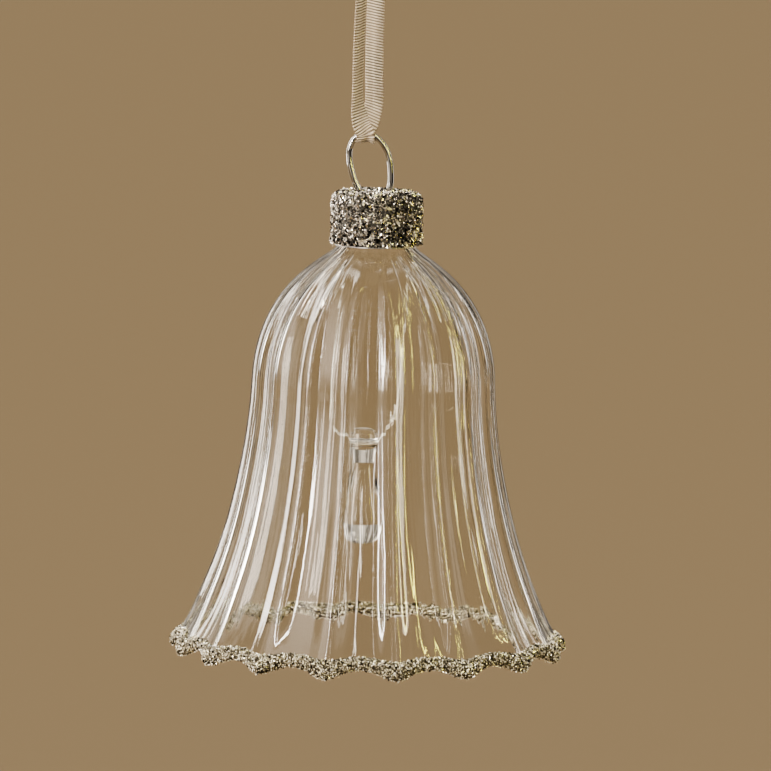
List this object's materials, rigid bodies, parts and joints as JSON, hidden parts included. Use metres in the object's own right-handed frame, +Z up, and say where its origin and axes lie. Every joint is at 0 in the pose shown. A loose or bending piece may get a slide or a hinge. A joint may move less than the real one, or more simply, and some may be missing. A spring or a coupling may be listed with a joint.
{
  "type": "christmas bell ornament",
  "caption": "Clear fluted glass bell ornament with a wavy glittered rim, a glittered cap, a wire ring, a glass drop clapper on a thread, and a hanging ribbon.",
  "frame": {"origin": "the hang point, at the underside of the ribbon's knot, where a twig or hook carries the ornament", "axes": "+Z up along the bell's axis; +X to the right and +Y away from a viewer who sees the hanger's ring face on"},
  "size_m": [0.0734, 0.0731, 0.1828],
  "materials": {
    "clear_glass": "thin clear blown glass with soft moulded flutes, fire-polished",
    "solid_glass": "solid clear pressed glass, polished",
    "silver_glitter": "coarse silvered glass glitter glued on, sparkling",
    "champagne_glitter": "fine pale champagne glass glitter glued on, sparkling",
    "tinplate": "thin silvered tinplate, hidden under the glitter",
    "steel_wire": "bright nickelled spring wire",
    "nylon": "clear nylon monofilament, smooth",
    "grosgrain": "cream grosgrain ribbon with fine cross ribs, soft sheen"
  },
  "bodies": {
    "top_knot": {"ribbon_knot": "grosgrain"},
    "ribbon": {"ribbon_loop": "grosgrain"},
    "bell": {"hanger_wire": "steel_wire", "cap": "tinplate", "cap_glitter": "silver_glitter", "glass_bell": "clear_glass", "rim_glitter": "champagne_glitter", "thread_knot_left": "nylon", "thread_knot_right": "nylon"},
    "thread": {"clapper_thread": "nylon"},
    "clapper": {"clapper_drop": "solid_glass"}
  },
  "joints": [
    {"name": "ribbon_sway", "type": "hinge", "parent": "top_knot", "child": "ribbon", "pos_m": [0, 0, 0.0027], "axis": [0, 1, 0], "range_deg": [-30, 30]},
    {"name": "bell_swing", "type": "hinge", "parent": "ribbon", "child": "bell", "pos_m": [-0.001, 0, -0.0761], "axis": [1, 0, 0], "range_deg": [-60, 60]},
    {"name": "thread_swing", "type": "hinge", "parent": "bell", "child": "thread", "pos_m": [0.00129, 0, -0.09967], "axis": [1, 0, 0], "range_deg": [-20, 20]},
    {"name": "clapper_slide", "type": "hinge", "parent": "thread", "child": "clapper", "pos_m": [-0.00031, 0, -0.12665], "axis": [0, 1, 0], "range_deg": [-25, 25]}
  ]
}
